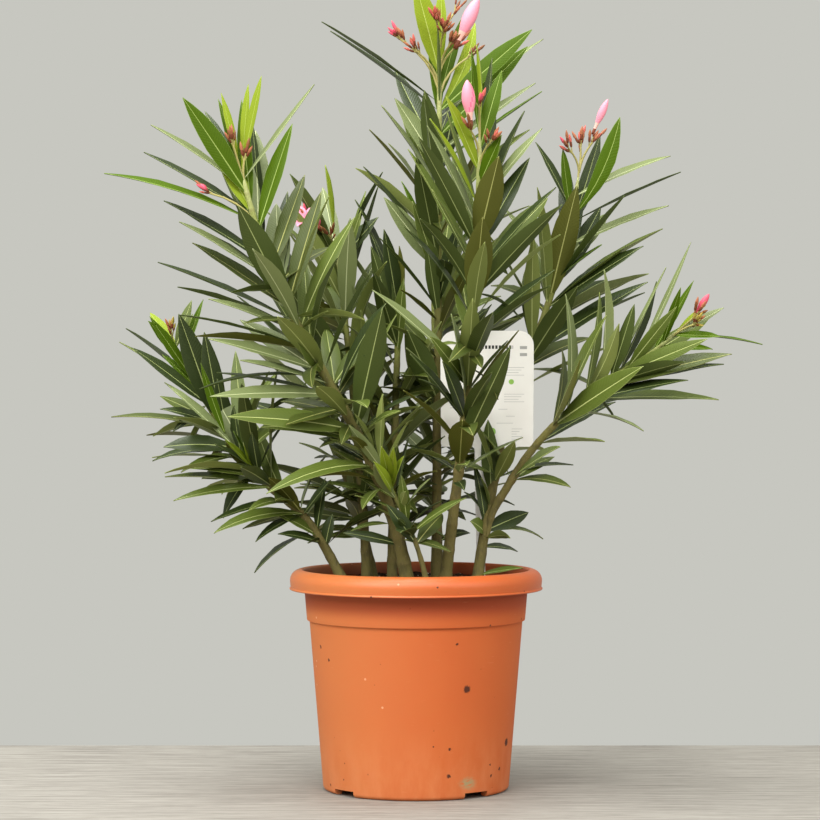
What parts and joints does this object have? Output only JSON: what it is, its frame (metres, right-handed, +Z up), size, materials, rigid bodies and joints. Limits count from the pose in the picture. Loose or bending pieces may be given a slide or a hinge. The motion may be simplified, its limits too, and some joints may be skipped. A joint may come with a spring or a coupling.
{
  "type": "potted oleander",
  "caption": "Young oleander in a round plastic nursery pot, with woody stems that fan out into shoots of narrow whorled leaves and pink flower buds, and a blank stick-in label.",
  "frame": {"origin": "centre of the pot's flat underside, at the moulding boss in the middle of it", "axes": "+Z up along the pot's axis, -Y towards the front, +X to the right as seen from the front"},
  "size_m": [0.5351, 0.3847, 0.6839],
  "materials": {
    "pot_plastic": "satin",
    "potting_mix": "matte",
    "bark": "matte",
    "foliage": "satin",
    "label_plastic": "satin"
  },
  "bodies": {
    "root": {"pot": "pot_plastic", "potting_mix": "potting_mix", "plant_label": "label_plastic", "stem_left": "bark", "stem_centre": "bark", "stem_right": "bark", "bough_far_right": "bark", "stem_far_left": "bark", "bough_low_left": "bark", "stem_top": "bark", "stem_back_left": "bark", "stem_middle": "bark", "stem_back": "bark", "stem_rear_left": "bark", "stem_twig": "bark", "foliage_left": "foliage", "foliage_centre": "foliage", "foliage_right": "foliage", "foliage_far_right": "foliage", "foliage_far_left": "foliage", "foliage_low_left": "foliage", "foliage_top": "foliage", "foliage_back_left": "foliage", "foliage_middle": "foliage", "foliage_back": "foliage", "foliage_rear_left": "foliage", "foliage_twig": "foliage"}
  },
  "joints": []
}
